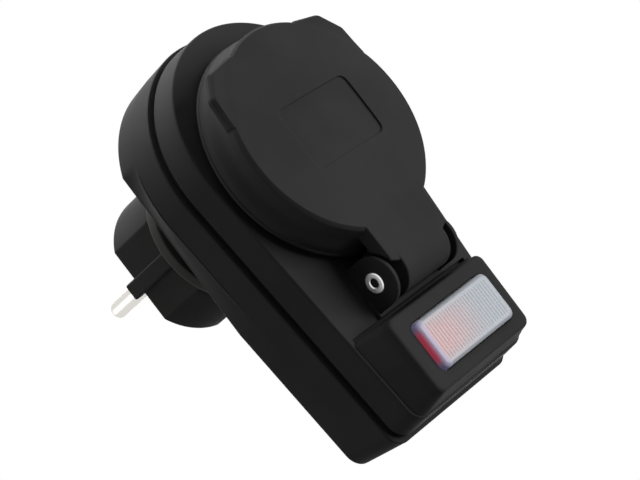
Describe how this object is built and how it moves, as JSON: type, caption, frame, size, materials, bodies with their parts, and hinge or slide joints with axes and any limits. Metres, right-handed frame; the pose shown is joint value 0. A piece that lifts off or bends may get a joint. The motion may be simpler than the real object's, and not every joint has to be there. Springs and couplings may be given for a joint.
{
  "type": "switched adapter plug",
  "caption": "Splash-proof adapter plug with a sprung hinged lid over its earthed socket and a lit rocker switch under a ribbed rubber cap.",
  "frame": {"origin": "midway between the two plug pins, on the end face of the plug", "axes": "+Y along the pins towards the wall, +Z towards the hinge and the switch, +X to the right as seen from the front"},
  "size_m": [0.0608, 0.0865, 0.1022],
  "materials": {
    "black_shell": "fine matt texture",
    "black_plug": "smooth satin moulding",
    "seal_rubber": "matt black rubber",
    "screw_steel": "zinc plated",
    "spring_steel": "bright drawn",
    "nickel": "satin nickel plating",
    "brass": "stamped",
    "hinge_chrome": "polished",
    "switch_plastic": "smooth",
    "rocker_red": "clear red moulding, lit from below",
    "cap_silicone": "milky clear silicone with fine ribs",
    "lamp_glass": "clear glass with a warm glow"
  },
  "bodies": {
    "housing": {"rear_cover": "black_shell", "front_cover": "black_shell", "body_seal": "seal_rubber", "cover_screws": "screw_steel", "plug_body": "black_plug", "plug_seal_ring": "seal_rubber", "plug_retaining_ring": "spring_steel", "plug_pin_left": "nickel", "plug_pin_right": "nickel", "plug_earth_bow": "nickel", "socket_insert": "black_plug", "socket_contact_left": "brass", "socket_contact_right": "brass", "socket_earth_bow": "nickel", "earth_bar": "brass", "neutral_bar": "brass", "live_bar_in": "brass", "live_bar_out": "brass", "hinge_pin": "hinge_chrome", "lid_spring": "spring_steel", "switch_base": "switch_plastic", "switch_cap": "cap_silicone", "switch_terminals": "brass", "indicator_lamp": "lamp_glass"},
    "lid": {"lid": "black_shell", "lid_seal": "seal_rubber"},
    "rocker": {"switch_rocker": "rocker_red"}
  },
  "joints": [
    {"name": "lid_hinge", "type": "hinge", "parent": "housing", "child": "lid", "pos_m": [0, -0.05935, 0.0344], "axis": [-1, 0, 0], "range_deg": [0, 105], "stiffness_Nm_per_rad": 0.02, "springref_deg": -68.75},
    {"name": "rocker_tilt", "type": "hinge", "parent": "housing", "child": "rocker", "pos_m": [0, -0.0546, 0.05275], "axis": [0, 0, 1], "range_deg": [-7, 7], "deforming": ["switch_cap"]}
  ]
}
